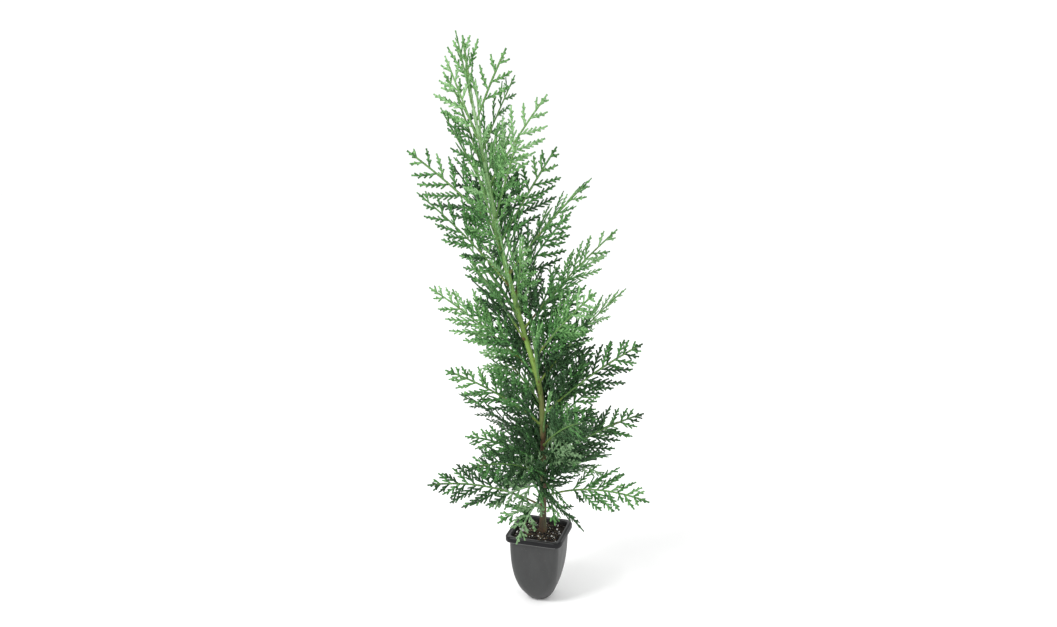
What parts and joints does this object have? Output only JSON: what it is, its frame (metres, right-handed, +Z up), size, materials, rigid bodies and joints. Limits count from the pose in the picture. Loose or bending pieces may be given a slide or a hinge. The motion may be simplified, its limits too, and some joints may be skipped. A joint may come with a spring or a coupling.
{
  "type": "young leyland cypress in a plug cell",
  "caption": "Young leyland cypress with a slim leaning stem and flat scale-leaved sprays all round, rooted in a thin black plug cell of potting mix.",
  "frame": {"origin": "middle of the plug cell's flat foot, on the surface it stands on", "axes": "+Z up, along the plant's height; +X to the plant's right as seen from the front; the stem leans towards -X"},
  "size_m": [0.2175, 0.1947, 0.4833],
  "materials": {
    "black_plastic": "satin formed sheet",
    "peat_mix": "rough, moist peat and bark crumbs",
    "green_bark": "matt young bark, brown at the foot and green above",
    "twig_bark": "matt green twig",
    "scale_foliage": "waxy scale leaves"
  },
  "bodies": {
    "root": {"bough_01": "twig_bark", "bough_02": "twig_bark", "bough_04": "twig_bark", "bough_07": "twig_bark", "bough_08": "twig_bark", "bough_09": "twig_bark", "bough_10": "twig_bark", "bough_12": "twig_bark", "bough_13": "twig_bark", "bough_14": "twig_bark", "bough_15": "twig_bark", "bough_16": "twig_bark", "bough_17": "twig_bark", "bough_18": "twig_bark", "bough_21": "twig_bark", "bough_22": "twig_bark", "bough_23": "twig_bark", "leader_spray": "scale_foliage", "plug_cell": "black_plastic", "potting_mix": "peat_mix", "spray_01": "scale_foliage", "spray_02": "scale_foliage", "spray_03": "scale_foliage", "spray_04": "scale_foliage", "spray_05": "scale_foliage", "spray_06": "scale_foliage", "spray_07": "scale_foliage", "spray_08": "scale_foliage", "spray_09": "scale_foliage", "spray_10": "scale_foliage", "spray_11": "scale_foliage", "spray_12": "scale_foliage", "spray_13": "scale_foliage", "spray_14": "scale_foliage", "spray_15": "scale_foliage", "spray_16": "scale_foliage", "spray_17": "scale_foliage", "spray_18": "scale_foliage", "spray_19": "scale_foliage", "spray_20": "scale_foliage", "spray_21": "scale_foliage", "spray_22": "scale_foliage", "spray_23": "scale_foliage", "spray_24": "scale_foliage", "spray_25": "scale_foliage", "spray_26": "scale_foliage", "spray_27": "scale_foliage", "spray_28": "scale_foliage", "spray_29": "scale_foliage", "spray_30": "scale_foliage", "spray_31": "scale_foliage", "spray_32": "scale_foliage", "spray_33": "scale_foliage", "spray_34": "scale_foliage", "spray_35": "scale_foliage", "spray_36": "scale_foliage", "spray_37": "scale_foliage", "spray_38": "scale_foliage", "stem": "green_bark"}
  },
  "joints": []
}
